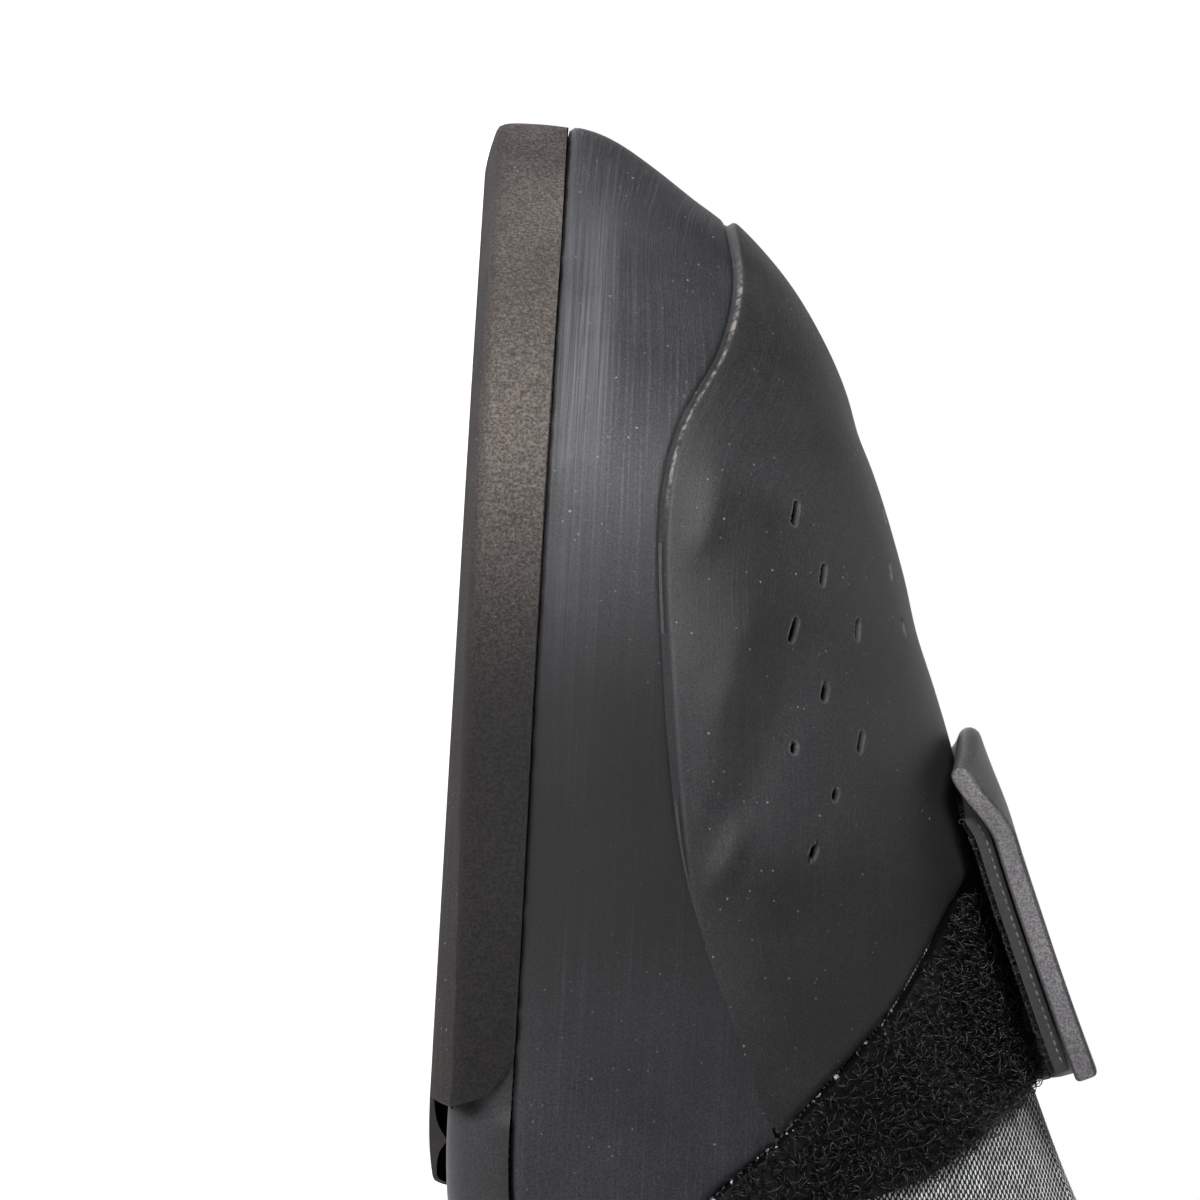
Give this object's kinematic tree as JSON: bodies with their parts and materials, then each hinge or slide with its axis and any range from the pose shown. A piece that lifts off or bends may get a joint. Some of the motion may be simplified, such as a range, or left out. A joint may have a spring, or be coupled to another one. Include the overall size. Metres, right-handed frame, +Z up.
{
  "type": "climbing shoe",
  "caption": "Low-cut rock climbing shoe for the left foot with a cupped rubber front sole, rubber toe patch, heel cup and one cross strap with hook-and-loop closure.",
  "frame": {"origin": "centre of the shoe's plan on the floor it stands on", "axes": "+Y towards the toe, +Z up, -X the lateral (outer) side, +X the medial side"},
  "size_m": [0.091, 0.2501, 0.0853],
  "materials": {
    "outsole_rubber": "matte sanded black rubber",
    "arch_rubber": "satin black rubber",
    "heel_rubber": "satin black rubber",
    "upper_knit": "black mesh knit with pale stitch dots",
    "insole_board": "matte dark cloth",
    "rand_rubber": "satin black rubber, finely striated",
    "patch_rubber": "smooth satin black rubber",
    "loop_pile": "black loop pile",
    "strap_leather": "smooth dark grey synthetic leather",
    "hook_tape": "black hook tape",
    "binding_knit": "soft black knit"
  },
  "bodies": {
    "root": {"outsole": "outsole_rubber", "arch_rubber": "arch_rubber", "heel_cup": "heel_rubber", "upper": "upper_knit", "insole": "insole_board", "rand": "rand_rubber", "toe_patch": "patch_rubber", "pile_pad": "loop_pile", "strap": "strap_leather", "hook_pad": "hook_tape", "collar_binding": "binding_knit"}
  },
  "joints": []
}
